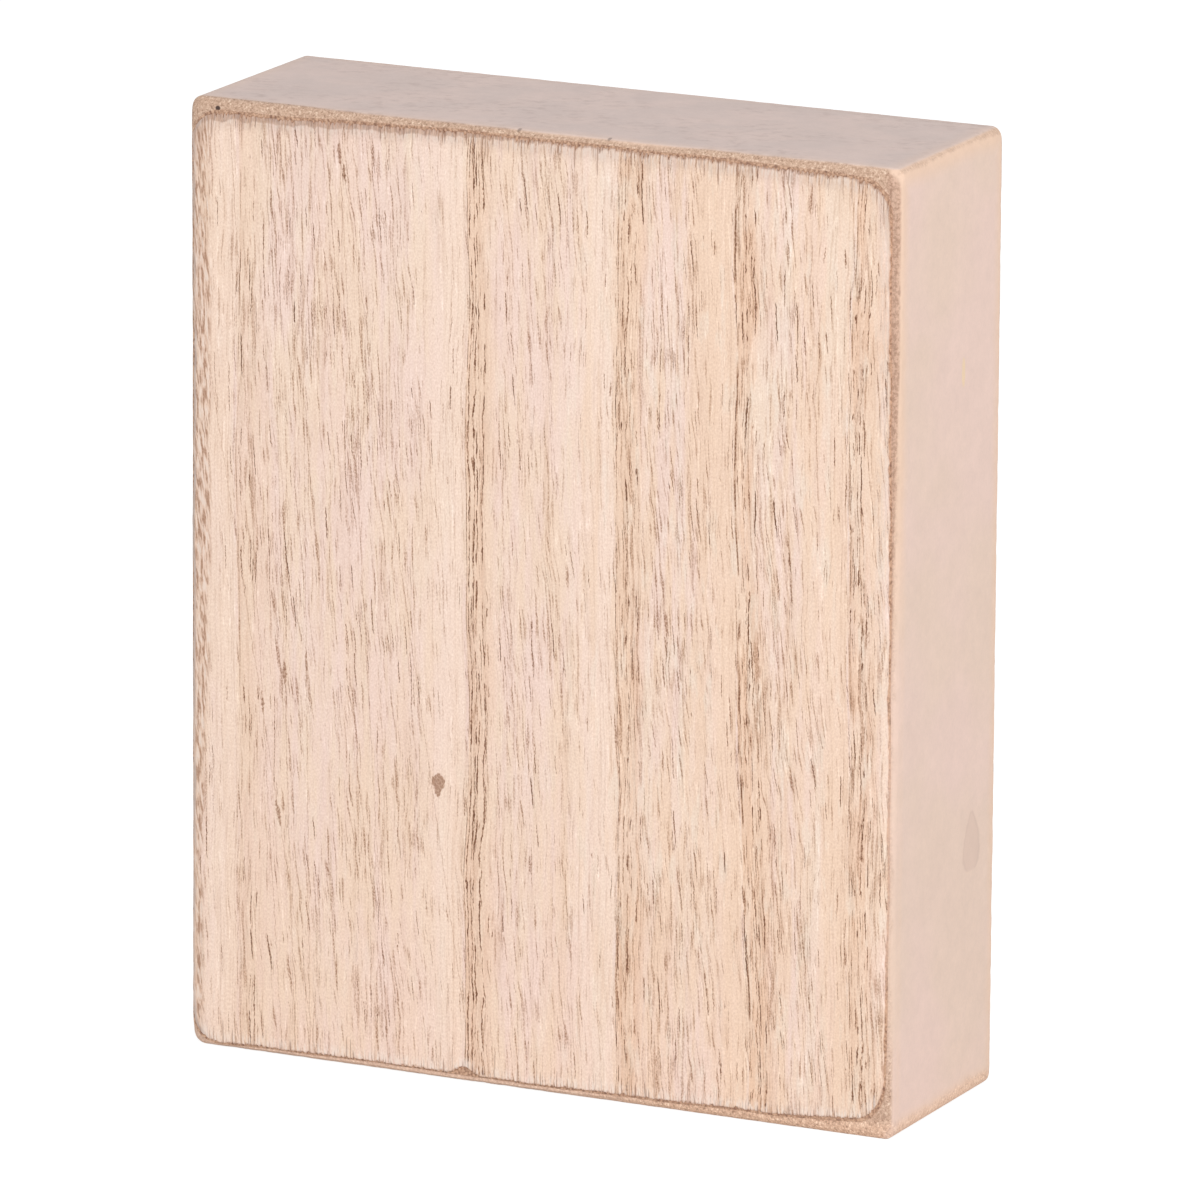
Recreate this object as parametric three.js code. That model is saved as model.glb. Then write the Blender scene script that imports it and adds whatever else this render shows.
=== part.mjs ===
// A tabletop plaque: a thick fibreboard block, veneered on both faces, that stands on its own lower edge.
// The edges were sanded after the veneer was pressed on, so one rounding runs through veneer, glue and board,
// and a narrow band of bare board shows round each face. Millimetres; +Z up; the front looks along -Y;
// the origin is the middle of the underside.

import * as THREE from 'three';

// Driving dimensions of the block
const height = 127;
const width = 101.1;
const boardThickness = 31.5;
const frontVeneerThickness = 0.3;
const backVeneerThickness = 0.3;
const glueLineThickness = 0.1;

// The sanded edge: how far it runs in over the face, and how far it drops down the sides
const sandedRunAtSides = 1.5;
const sandedRunAtEnds = 3.6;
const sandedDrop = 1.5;

// Corner radii seen from the front: on the flat of the face, and on the block below the sanded edge
const faceCornerRadius = 7;
const upperCornerRadius = 1.4;
const lowerCornerRadius = 1.4;

// Hand sanding bites unevenly: the share of the run that each corner has, the share that is left out
// midway along the top and the bottom, and the share by which a long and a short swell move it
const runAtUpperLeft = 1;
const runAtUpperRight = 1.05;
const runAtLowerRight = 1.38;
const runAtLowerLeft = 0.42;
const easedMidway = 0.45;
const unevenShare = 0.15;
const longSwell = 41;
const shortSwell = 17;
const longSwellShare = 0.6;
const swellSlant = 0.7;

// Fineness of the facets
const cornerSegments = 6;
const profileSegments = 6;
const runStep = 5.2;
const leastStep = 0.03;

// Finishes
const veneerFinish = { color: 0xebd0be, roughness: 0.7, metalness: 0 };
const glueFinish = { color: 0xa98974, roughness: 0.5, metalness: 0 };
const boardFinish = { color: 0xe3c9b8, roughness: 0.75, metalness: 0 };

// The layers from front to back, each seated face to face on the next
const layers = [
  { name: 'front_veneer', thickness: frontVeneerThickness, finish: veneerFinish },
  { name: 'front_glue_line', thickness: glueLineThickness, finish: glueFinish },
  { name: 'board_core', thickness: boardThickness, finish: boardFinish },
  { name: 'back_glue_line', thickness: glueLineThickness, finish: glueFinish },
  { name: 'back_veneer', thickness: backVeneerThickness, finish: veneerFinish },
];
const depth = layers.reduce((sum, { thickness }) => sum + thickness, 0);
const frontY = -depth / 2;
const backY = depth / 2;
const runsAcross = Math.ceil(width / runStep);
const runsUp = Math.ceil(height / runStep);
const quarterTurn = Math.PI / 2;

// The share of the sanded run that is left at a drop below the face: 1 on the face, 0 where the sides start
function sandedShare(drop) {
  const cosine = 1 - THREE.MathUtils.clamp(drop / sandedDrop, 0, 1);
  return 1 - Math.sqrt(1 - cosine * cosine);
}

// The share of the run that the sanding has at a place on the outline
function biteAt(x, z) {
  const { lerp } = THREE.MathUtils;
  const toRight = x / width + 0.5;
  const toTop = z / height + 0.5;
  const upper = lerp(runAtUpperLeft, runAtUpperRight, toRight);
  const lower = lerp(runAtLowerLeft, runAtLowerRight, toRight);
  const fromMiddle = (2 * x) / width;
  const eased = 1 - easedMidway * (1 - fromMiddle * fromMiddle);
  const long = Math.sin((2 * Math.PI * (x + swellSlant * z)) / longSwell);
  const short = Math.sin((2 * Math.PI * (x - z)) / shortSwell);
  const swell = lerp(short, long, longSwellShare);
  return lerp(lower, upper, toTop) * eased * (1 + unevenShare * swell);
}

// One corner of a rounded rectangle that reaches out to (cornerX, cornerZ): points with their outward
// directions, anticlockwise from the front
function cornerPoints(cornerX, cornerZ, radius, startAngle) {
  const centre = new THREE.Vector2(
    cornerX - radius * Math.sign(cornerX),
    cornerZ - radius * Math.sign(cornerZ),
  );
  const points = [];
  for (let i = 0; i <= cornerSegments; i += 1) {
    const angle = startAngle + (quarterTurn * i) / cornerSegments;
    const out = new THREE.Vector2(Math.cos(angle), Math.sin(angle));
    points.push({ at: centre.clone().addScaledVector(out, radius), out });
  }
  return points;
}

// The points between two corners, along a straight side
function sidePoints(from, to, count) {
  const points = [];
  for (let i = 1; i < count; i += 1) {
    points.push({ at: from.at.clone().lerp(to.at, i / count), out: from.out });
  }
  return points;
}

// The outline of the block at a drop below its nearer face: a rounded rectangle, drawn in by the sanding
function outlineAt(drop) {
  const share = sandedShare(drop);
  const upperRadius = THREE.MathUtils.lerp(upperCornerRadius, faceCornerRadius, share);
  const lowerRadius = THREE.MathUtils.lerp(lowerCornerRadius, faceCornerRadius, share);
  const reachX = width / 2 - sandedRunAtSides * share;
  const reachZ = height / 2 - sandedRunAtEnds * share;
  const corners = [
    cornerPoints(-reachX, -reachZ, lowerRadius, -2 * quarterTurn),
    cornerPoints(reachX, -reachZ, lowerRadius, -quarterTurn),
    cornerPoints(reachX, reachZ, upperRadius, 0),
    cornerPoints(-reachX, reachZ, upperRadius, quarterTurn),
  ];
  const runCounts = [runsAcross, runsUp, runsAcross, runsUp];
  const loop = corners.flatMap((corner, i) => {
    const next = corners[(i + 1) % corners.length];
    return [...corner, ...sidePoints(corner.at(-1), next[0], runCounts[i])];
  });
  return loop.map(({ at, out }) => {
    const fullRun = Math.hypot(sandedRunAtSides * out.x, sandedRunAtEnds * out.y) * share;
    return at.addScaledVector(out, fullRun * (1 - biteAt(at.x, at.y)));
  });
}

// Where the sanded rounding is cut into facets, as places through the depth of the block
function profileStations() {
  const stations = [];
  for (let i = 0; i <= profileSegments; i += 1) {
    const drop = sandedDrop * (1 - Math.cos((quarterTurn * i) / profileSegments));
    stations.push(frontY + drop, backY - drop);
  }
  return stations.sort((a, b) => a - b);
}

// A closed loft through the block's outlines, from one place in its depth to another
function layerGeometry(startY, endY) {
  const inside = profileStations().filter((y) => y > startY + leastStep && y < endY - leastStep);
  const stations = [startY, ...inside, endY];
  const outlines = stations.map((y) => outlineAt(Math.min(y - frontY, backY - y)));
  const positions = stations.flatMap((y, s) => outlines[s].flatMap((p) => [p.x, y - startY, p.y]));
  const count = outlines[0].length;
  const faces = [];
  for (let s = 0; s + 1 < stations.length; s += 1) {
    for (let i = 0; i < count; i += 1) {
      const a = s * count + i;
      const b = s * count + ((i + 1) % count);
      faces.push(a, a + count, b, b, a + count, b + count);
    }
  }
  const frontCentre = stations.length * count;
  const backCentre = frontCentre + 1;
  const lastRing = frontCentre - count;
  positions.push(0, 0, 0, 0, endY - startY, 0);
  for (let i = 0; i < count; i += 1) {
    const j = (i + 1) % count;
    faces.push(frontCentre, i, j, backCentre, lastRing + j, lastRing + i);
  }
  const geometry = new THREE.BufferGeometry();
  geometry.setAttribute('position', new THREE.Float32BufferAttribute(positions, 3));
  geometry.setIndex(faces);
  geometry.computeVertexNormals();
  return geometry;
}

const plaque = new THREE.Group();
plaque.name = 'tabletop_plaque';
let startY = frontY;
for (const { name, thickness, finish } of layers) {
  const mesh = new THREE.Mesh(layerGeometry(startY, startY + thickness), new THREE.MeshStandardMaterial(finish));
  mesh.name = name;
  mesh.position.set(0, startY, height / 2);
  plaque.add(mesh);
  startY += thickness;
}

export default plaque;
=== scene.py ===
# A tabletop plaque: a fibreboard block with a whitewashed veneer on both faces, and hand-sanded edges.
# Lengths are in millimetres in this script and become metres where a mesh or an object is made.
import math

import bpy
import numpy as np
from mathutils import Matrix, Vector, geometry, noise


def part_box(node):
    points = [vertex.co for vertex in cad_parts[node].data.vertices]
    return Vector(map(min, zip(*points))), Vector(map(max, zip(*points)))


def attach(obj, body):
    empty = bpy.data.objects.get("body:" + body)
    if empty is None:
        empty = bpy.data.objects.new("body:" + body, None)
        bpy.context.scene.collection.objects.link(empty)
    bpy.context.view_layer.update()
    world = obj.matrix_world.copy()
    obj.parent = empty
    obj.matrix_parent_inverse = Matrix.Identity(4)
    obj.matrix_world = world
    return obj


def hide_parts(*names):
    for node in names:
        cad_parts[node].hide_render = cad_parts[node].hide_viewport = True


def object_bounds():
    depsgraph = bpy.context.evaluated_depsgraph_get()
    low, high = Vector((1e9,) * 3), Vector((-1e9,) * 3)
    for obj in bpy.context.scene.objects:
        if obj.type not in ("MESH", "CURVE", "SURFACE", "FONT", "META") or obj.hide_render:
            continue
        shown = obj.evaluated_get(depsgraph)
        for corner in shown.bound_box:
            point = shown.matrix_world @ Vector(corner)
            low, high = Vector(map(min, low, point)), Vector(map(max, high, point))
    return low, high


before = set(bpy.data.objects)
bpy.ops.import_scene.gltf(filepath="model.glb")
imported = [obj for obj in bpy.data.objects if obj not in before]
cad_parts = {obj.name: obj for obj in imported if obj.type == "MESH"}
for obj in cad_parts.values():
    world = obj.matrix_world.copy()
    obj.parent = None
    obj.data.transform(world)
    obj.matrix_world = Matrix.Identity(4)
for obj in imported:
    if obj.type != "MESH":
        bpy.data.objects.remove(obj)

MM = 0.001

cad_low, cad_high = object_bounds()
width, depth, height = [(high - low) / MM for low, high in zip(cad_low, cad_high)]
half_width, half_depth, half_height = width / 2, depth / 2, height / 2


def thickness(node):
    low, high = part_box(node)
    return (high[1] - low[1]) / MM


veneer_thickness = thickness("front_veneer")
glue_thickness = thickness("front_glue_line")

# The sanded edge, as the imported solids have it
SANDED_RUN_AT_SIDES = 1.5
SANDED_RUN_AT_ENDS = 3.6
SANDED_DROP = 1.5
FACE_CORNER_RADIUS = 7.0
UPPER_CORNER_RADIUS = 1.4
LOWER_CORNER_RADIUS = 1.4
RUN_AT_UPPER_LEFT, RUN_AT_UPPER_RIGHT = 1.0, 1.05
RUN_AT_LOWER_LEFT, RUN_AT_LOWER_RIGHT = 0.42, 1.38
EASED_MIDWAY = 0.45
UNEVEN_SHARE = 0.15
LONG_SWELL = 41.0
SHORT_SWELL = 17.0
LONG_SWELL_SHARE = 0.6
SWELL_SLANT = 0.7

# The veneers' corners were sanded rounder than the block's: by (right, top), the rounding's reach in x and z
VENEER_CORNERS = {(1, 1): (4.5, 4.5), (1, -1): (4.3, 6.0), (-1, 1): (4.0, 4.0)}
# How much further the sanding took the veneers back: along the top and the foot by x, up the right side by z
TOP_SETBACK = ((-48, 0.40), (-40, 0.35), (-20, 0.10), (0, 0.0), (38, 0.08))
FOOT_SETBACK = ((-50, 0.0), (-38, 0.20), (-17, 0.42), (9, 0.27), (38, 0.50))
RIGHT_SETBACK = ((-10, 0.0), (10, 0.10), (25, 0.40), (45, 0.65))

# The veneers' fibre teeth, coarse to fine: pitch, longest tooth, how rare long ones are, how narrow they are
FIBRE_TEETH = ((0.62, 0.60, 3.0, 1.3), (0.36, 0.36, 2.0, 1.0), (0.22, 0.16, 1.0, 1.0))
TEETH_SHARE_AT_FOOT = 0.55
LEAST_SETBACK = 0.03
DENT_DEPTH = 0.09

# The meshes: the spacing of points along the outlines and of the grids that fill them
BLOCK_STEP, VENEER_END_STEP, VENEER_SIDE_STEP, GLUE_STEP = 0.6, 0.08, 0.16, 0.5
VENEER_GRID, GLUE_GRID = 1.5, 9.0

# Shares of the run at which the veneer's mesh has a loop of its own
VENEER_CONTOURS = (0.5, 0.62, 0.76, 0.9, 1.0)

# Places on the front, in millimetres from the middle of the face: +x right, +z up
# A growth ring's line is its x and its strength
RING_LINES = [(-64, 0.5), (-43.6, 0.5), (-10.5, 1.0), (10.7, 0.86), (28.4, 0.82), (43.9, 0.74), (62, 0.5)]
BACK_RING_LINES = [(-71, 0.5), (-38, 0.7), (-17, 0.9), (8, 0.8), (35, 0.8), (66, 0.5)]
FLECK = (-14.2, -24.2)
FLECK_WIDTH, FLECK_LENGTH = 2.1, 3.2
CHIP_X, CHIP_HALF_WIDTH, CHIP_DEPTH = -10.4, 2.0, 1.0
KNOT = (-22.9, 50.0)
KNOT_RADIUS = 0.5
# Opened vessels that stand out: middle, half width, half length, lean
FRONT_DASHES = [
    ((-28.6, 58.2), 0.30, 1.7, 0.06),
    ((-27.9, 55.6), 0.28, 1.4, 0.16),
    ((-36.6, -11.4), 0.34, 1.9, 0.03),
    ((-33.4, -10.6), 0.16, 2.6, 0.01),
    ((-39.8, -15.9), 0.22, 1.8, 0.06),
    ((-37.5, -30.5), 0.30, 1.9, 0.17),
]

# Places on the right side, in millimetres: +y to the back, +z up from the middle
DROP, DROP_WIDTH, DROP_LENGTH = (8.2, -33.4), 5.0, 8.4
SIDE_FLECK = (3.9, 33.5)

# Dark specks on the board's edges: the middle, the reach in x, y and z, and how dark they are
BOARD_SPECKS = [
    ((-46.4, -15.6, 62.3), (0.36, 2.6, 0.30), 1.0),
    ((-3.4, -14.9, 63.3), (0.25, 0.5, 0.5), 0.5),
    ((9.4, -14.9, 63.3), (0.25, 0.5, 0.5), 0.5),
    ((-9.2, -15.2, -62.7), (1.0, 0.5, 0.22), 0.6),
    ((50.4, 15.3, -21.0), (0.6, 0.3, 1.0), 0.8),
    ((50.4, 15.3, -24.3), (0.6, 0.3, 0.8), 0.8),
]


# The camera, solved from the straight edges of the silhouette
CAMERA_AZIMUTH = 26.02
CAMERA_ELEVATION = 13.84
CAMERA_ROLL = 0.30
CAMERA_DISTANCE_IN_HEIGHTS = 12.419
FRAME_WIDTH_IN_PIXELS = 1200
FOCAL_LENGTH_IN_FRAME_WIDTHS = 12172 / FRAME_WIDTH_IN_PIXELS
FRAME_SHIFT_X = 7.4 / FRAME_WIDTH_IN_PIXELS
FRAME_SHIFT_Y = -9.0 / FRAME_WIDTH_IN_PIXELS
SENSOR = 36.0
NEAREST, FARTHEST = 0.05, 50.0

# The studio, in metres and watts
FLOOR_REACH = 4.0
FLOOR_GREY, FLOOR_GREY_SEEN, FLOOR_GLOW_SEEN = 0.8, 0.3, 0.86
SKY_COLOR, SKY_STRENGTH = (0.97, 0.98, 1.0, 1), 0.62
KEY_TOWARD, KEY_DISTANCE, KEY_SIZE = (0.60, -0.68, 0.42), 1.6, 0.9
KEY_POWER, KEY_COLOR = 14.6, (1.0, 0.985, 0.965)


# Outlines

def between(a, b, share):
    return a + (b - a) * share


def sanded_share(drop):
    cosine = 1 - np.clip(np.asarray(drop, float) / SANDED_DROP, 0, 1)
    return 1 - np.sqrt(1 - cosine * cosine)


def bite_at(x, z):
    """The share of the full run that the sanding has at (x, z)."""
    to_right, to_top = x / width + 0.5, z / height + 0.5
    upper = between(RUN_AT_UPPER_LEFT, RUN_AT_UPPER_RIGHT, to_right)
    lower = between(RUN_AT_LOWER_LEFT, RUN_AT_LOWER_RIGHT, to_right)
    eased = 1 - EASED_MIDWAY * (1 - (2 * x / width) ** 2)
    long = np.sin(2 * np.pi * (x + SWELL_SLANT * z) / LONG_SWELL)
    short = np.sin(2 * np.pi * (x - z) / SHORT_SWELL)
    swell = between(short, long, LONG_SWELL_SHARE)
    return between(lower, upper, to_top) * eased * (1 + UNEVEN_SHARE * swell)


def outline(share, end_step, side_step, corner_steps):
    """Points (x, z) of the sanded block's outline at a share of the run, and their outward directions."""
    reach_x = half_width - SANDED_RUN_AT_SIDES * share
    reach_z = half_height - SANDED_RUN_AT_ENDS * share
    across, up = round(width / end_step), round(height / side_step)
    corners = []
    for start, right, top in ((-180, -1, -1), (-90, 1, -1), (0, 1, 1), (90, -1, 1)):
        radius = between(UPPER_CORNER_RADIUS if top > 0 else LOWER_CORNER_RADIUS, FACE_CORNER_RADIUS, share)
        centre = np.array([right * (reach_x - radius), top * (reach_z - radius)])
        angles = np.radians(start) + np.linspace(0, math.pi / 2, corner_steps + 1)
        out = np.stack([np.cos(angles), np.sin(angles)], 1)
        corners.append((centre + radius * out, out))
    points, outward = [], []
    counts = (across, up, across, up)
    for (arc, out), (following, _), count in zip(corners, corners[1:] + corners[:1], counts):
        along = np.linspace(0, 1, count + 1)[1:-1, None]
        points += [arc, between(arc[-1], following[0], along)]
        outward += [out, np.repeat(out[-1:], count - 1, 0)]
    at, out = np.concatenate(points), np.concatenate(outward)
    full_run = np.hypot(SANDED_RUN_AT_SIDES * out[:, 0], SANDED_RUN_AT_ENDS * out[:, 1]) * share
    return at + out * (full_run * (1 - bite_at(at[:, 0], at[:, 1])))[:, None], out


def drop_at(x, z):
    """How far the sanded block lies below its face at (x, z), found by halving on the share of the run."""
    low, high = np.zeros_like(x), np.ones_like(x)
    block_radius = np.where(z > 0, UPPER_CORNER_RADIUS, LOWER_CORNER_RADIUS)
    left_out = 1 - bite_at(x, z)
    for _ in range(24):
        share = (low + high) / 2
        radius = between(block_radius, FACE_CORNER_RADIUS, share)
        qx = np.abs(x) - (half_width - SANDED_RUN_AT_SIDES * share - radius)
        qz = np.abs(z) - (half_height - SANDED_RUN_AT_ENDS * share - radius)
        corner = (qx > 0) & (qz > 0)
        reach = np.where(corner, np.hypot(qx, qz), np.maximum(qx, qz))
        nx = np.where(corner, qx / reach, qx > qz)
        nz = np.where(corner, qz / reach, qx <= qz)
        grown = np.hypot(SANDED_RUN_AT_SIDES * nx, SANDED_RUN_AT_ENDS * nz) * share * left_out
        inside = reach - radius < grown
        low, high = np.where(inside, share, low), np.where(inside, high, share)
    sine = 1 - low
    return SANDED_DROP * (1 - np.sqrt(np.maximum(1 - sine * sine, 0)))


def wander(t, step, seed):
    """A smooth random line from -1 to 1 along t, which turns about every step."""
    values = np.random.default_rng(seed).uniform(-1, 1, 4096)
    u = np.asarray(t) / step + 2048
    i = np.floor(u).astype(int)
    f = u - i
    f = f * f * (3 - 2 * f)
    return values[i % 4096] * (1 - f) + values[(i + 1) % 4096] * f


# Meshes

def new_object(name, points, faces, material, sharp_angle=35):
    """A mesh object from points (x, y, z) in millimetres, with z up from the middle of the block."""
    mesh = bpy.data.meshes.new(name)
    lifted = np.asarray(points, float) + (0, 0, half_height)
    mesh.from_pydata((lifted * MM).tolist(), [], [tuple(int(i) for i in f) for f in faces])
    mesh.validate()
    mesh.materials.append(material)
    mesh.shade_smooth()
    mesh.set_sharp_from_angle(angle=math.radians(sharp_angle))
    made = bpy.data.objects.new(name, mesh)
    bpy.context.scene.collection.objects.link(made)
    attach(made, "root")
    return made


def kept_inside(points, loop, margin):
    """The points that lie inside an outline, at least a margin away from its own points."""
    kept = []
    ax, az = loop[:, 0], loop[:, 1]
    bx, bz = np.roll(ax, -1), np.roll(az, -1)
    for x, z in points:
        if np.min((ax - x) ** 2 + (az - z) ** 2) < margin * margin:
            continue
        crossed = ((az > z) != (bz > z)) & (x < ax + (bx - ax) * (z - az) / np.where(bz == az, 1, bz - az))
        if np.count_nonzero(crossed) % 2:
            kept.append((x, z))
    return np.array(kept).reshape(-1, 2)


def filled(loop, inner_shares, grid_step):
    """Triangles that fill an outline, over its own points, the sanding's contours and a grid inside it."""
    contours = [outline(share, 1.0, 1.4, 6)[0] for share in inner_shares]
    innermost = contours[-1] if contours else loop
    gx = np.arange(-half_width + grid_step, half_width, grid_step)
    gz = np.arange(-half_height + grid_step, half_height, grid_step)
    grid = kept_inside(np.array([(x, z) for x in gx for z in gz]), innermost, grid_step * 0.6)
    grid = kept_inside(grid, loop, grid_step * 0.3)
    contours = [kept_inside(contour, loop, 0.25) for contour in contours]
    points = [Vector(p) for p in np.concatenate([loop] + contours + [grid])]
    edges = [(i, (i + 1) % len(loop)) for i in range(len(loop))]
    out, _, faces, _, _, _ = geometry.delaunay_2d_cdt(points, edges, [], 1, 1e-7)
    flat = np.array([tuple(p) for p in out])
    return flat, [list(f) for f in faces]


def sheet_object(name, loop, inner_shares, front, back, facing, material, grid_step):
    """A thin sheet cut to an outline: the outer surface at depth front(x, z), the inner one at depth back.

    Its points carry their distance from the outline in millimetres, as the attribute "rim".
    """
    flat, faces = filled(loop, inner_shares, grid_step)
    count = len(flat)
    outer = np.stack([flat[:, 0], facing * (half_depth - front(flat[:, 0], flat[:, 1])), flat[:, 1]], 1)
    inner = np.stack([flat[:, 0], np.full(count, facing * (half_depth - back)), flat[:, 1]], 1)
    uses = {}
    for f in faces:
        for a, b in zip(f, f[1:] + f[:1]):
            uses[(a, b)] = uses.get((a, b), 0) + 1
    rim = [e for e in uses if (e[1], e[0]) not in uses]
    every = [list(f) for f in faces] + [[i + count for i in reversed(f)] for f in faces]
    every += [[b, a, a + count, b + count] for a, b in rim]
    if facing > 0:
        every = [list(reversed(f)) for f in every]
    made = new_object(name, np.concatenate([outer, inner]), every, material)
    rim_distance = [math.sqrt(np.min(np.sum((loop - p) ** 2, 1))) for p in flat]
    attribute = made.data.attributes.new("rim", "FLOAT", "POINT")
    attribute.data.foreach_set("value", np.tile(np.array(rim_distance, np.float32), 2))
    return made


def block_object(name, material):
    """The board: a loft through the sanded outlines from its front plane to its back plane, with dents."""
    start = veneer_thickness + glue_thickness
    first = math.acos(1 - start / SANDED_DROP)
    drops = [SANDED_DROP * (1 - math.cos(t)) for t in np.linspace(first, math.pi / 2, 12)]
    straight = np.linspace(SANDED_DROP, depth - SANDED_DROP, 16)[1:-1]
    stations = drops + list(straight) + [depth - d for d in reversed(drops)]
    rings = []
    for station in stations:
        drop = min(station, depth - station)
        at, out = outline(float(sanded_share(drop)), BLOCK_STEP, BLOCK_STEP, 14)
        rounding = math.sin(math.pi * min(max((drop - start) / (SANDED_DROP - start), 0), 1))
        y = -half_depth + station
        dent = np.array([noise.noise(Vector((p[0] * 0.5, y * 0.7, p[1] * 0.5))) for p in at])
        dent += 0.5 * np.array([noise.noise(Vector((p[0] * 1.9, y * 2.3, p[1] * 1.9))) for p in at])
        at = at - out * (DENT_DEPTH * rounding * np.clip(dent + 0.2, 0, 1))[:, None]
        rings.append(np.column_stack([at[:, 0], np.full(len(at), y), at[:, 1]]))
    count = len(rings[0])
    faces = []
    for s in range(len(rings) - 1):
        for i in range(count):
            j = (i + 1) % count
            faces.append((s * count + i, (s + 1) * count + i, (s + 1) * count + j, s * count + j))
    faces.append(tuple(range(count)))
    last = (len(rings) - 1) * count
    faces.append(tuple(last + i for i in reversed(range(count))))
    return new_object(name, np.concatenate(rings), faces, material)


def worn_back(at, out):
    """A layer's outline set back along its edges, with its rounder corners."""
    upward, right_hand = out[:, 1], np.clip(out[:, 0], 0, 1) ** 2
    back = np.clip(upward, 0, 1) ** 2 * np.interp(at[:, 0], *zip(*TOP_SETBACK))
    back += np.clip(-upward, 0, 1) ** 2 * np.interp(at[:, 0], *zip(*FOOT_SETBACK))
    back += right_hand * np.interp(at[:, 1], *zip(*RIGHT_SETBACK))
    at = at - out * back[:, None]
    for (right, top), (reach_x, reach_z) in VENEER_CORNERS.items():
        x, z = right * at[:, 0], top * at[:, 1]
        side = np.argmin(np.abs(z - (z.max() - reach_z)) + width * (x < 0))
        end = np.argmin(np.abs(x - (x.max() - reach_x)) + width * (z < 0))
        centre_x, centre_z = x[side] - reach_x, z[end] - reach_z
        past_x, past_z = x - centre_x, z - centre_z
        away = np.hypot(past_x / reach_x, past_z / reach_z)
        beyond = (past_x > 0) & (past_z > 0) & (away > 1)
        at[beyond, 0] = right * (centre_x + past_x / away)[beyond]
        at[beyond, 1] = top * (centre_z + past_z / away)[beyond]
    return at


def ragged_outline(seed, chip):
    """Where the sanding has cut the veneer: fibre ends at the top and bottom, long slivers at the sides."""
    at, out = outline(float(sanded_share(veneer_thickness)), VENEER_END_STEP, VENEER_SIDE_STEP, 46)
    at = worn_back(at, out)
    x, z = at[:, 0], at[:, 1]
    upper, right = (z > 0) * 500.0, (x > 0) * 500.0
    teeth = np.zeros_like(x)
    for fibre, longest, power, narrow in FIBRE_TEETH:
        place = (x + 0.5 * fibre * wander(x + upper, 1.1, seed + 1)) / fibre + upper
        lengths = np.random.default_rng(seed + round(fibre * 100)).uniform(0, 1, 4096) ** power
        bay = np.maximum(1 - narrow * np.abs(2 * (place % 1) - 1), 0)
        teeth += longest * lengths[np.floor(place).astype(int) % 4096] * bay
    shown = np.where(z > 0, 1.0, TEETH_SHARE_AT_FOOT)
    ends = 0.05 + 0.06 * (1 + wander(x + upper, 4.0, seed + 2)) + teeth * shown
    sides = 0.14 + 0.10 * wander(z + right, 4.5, seed + 3) + 0.07 * wander(z + right, 0.9, seed + 4)
    sides += 0.05 * wander(z + right, 0.35, seed + 5)
    upright = out[:, 1] ** 2
    back = ends * upright + sides * (1 - upright)
    if chip:
        back += CHIP_DEPTH * (z < 0) * np.clip(1.2 - np.abs(x - CHIP_X) / CHIP_HALF_WIDTH, 0, 1) ** 1.3
    return at - out * np.maximum(back, LEAST_SETBACK)[:, None]


def glue_outline(seed):
    at, out = outline(float(sanded_share(veneer_thickness + glue_thickness)), GLUE_STEP, GLUE_STEP, 24)
    at = worn_back(at, out)
    along = np.arange(len(at)) * GLUE_STEP
    return at - out * (0.05 + 0.05 * wander(along, 2.1, seed))[:, None]


# Shader nodes

def srgb(r, g, b):
    """A colour as it should look, 0 to 255, in linear light."""
    channels = [c / 255 for c in (r, g, b)]
    return tuple(c / 12.92 if c <= 0.04045 else ((c + 0.055) / 1.055) ** 2.4 for c in channels) + (1.0,)


CREAM, PINK, WHITE, TAN = srgb(243, 217, 196), srgb(243, 216, 203), srgb(241, 227, 212), srgb(241, 211, 187)
PALE, WARM, AMBER = srgb(248, 223, 205), srgb(244, 214, 190), srgb(235, 195, 162)
WORN, FIBRE, GREYED = srgb(160, 123, 103), srgb(246, 231, 220), srgb(226, 208, 196)
# The grey-brown of the veneer's left rim is painted shade, where the rounding turns away from the light
RUBBED, LEFT_RIM_SHADE, SCRAPED = srgb(222, 188, 162), srgb(184, 169, 162), srgb(174, 134, 110)
GLUE_DEEP, GLUE, GLUE_PALE = srgb(142, 108, 90), srgb(180, 142, 118), srgb(214, 178, 151)
# What is left of each channel, in linear light, where the wood is darkened by 1
FULL_SHADE = (0.42, 0.312, 0.252)


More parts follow.
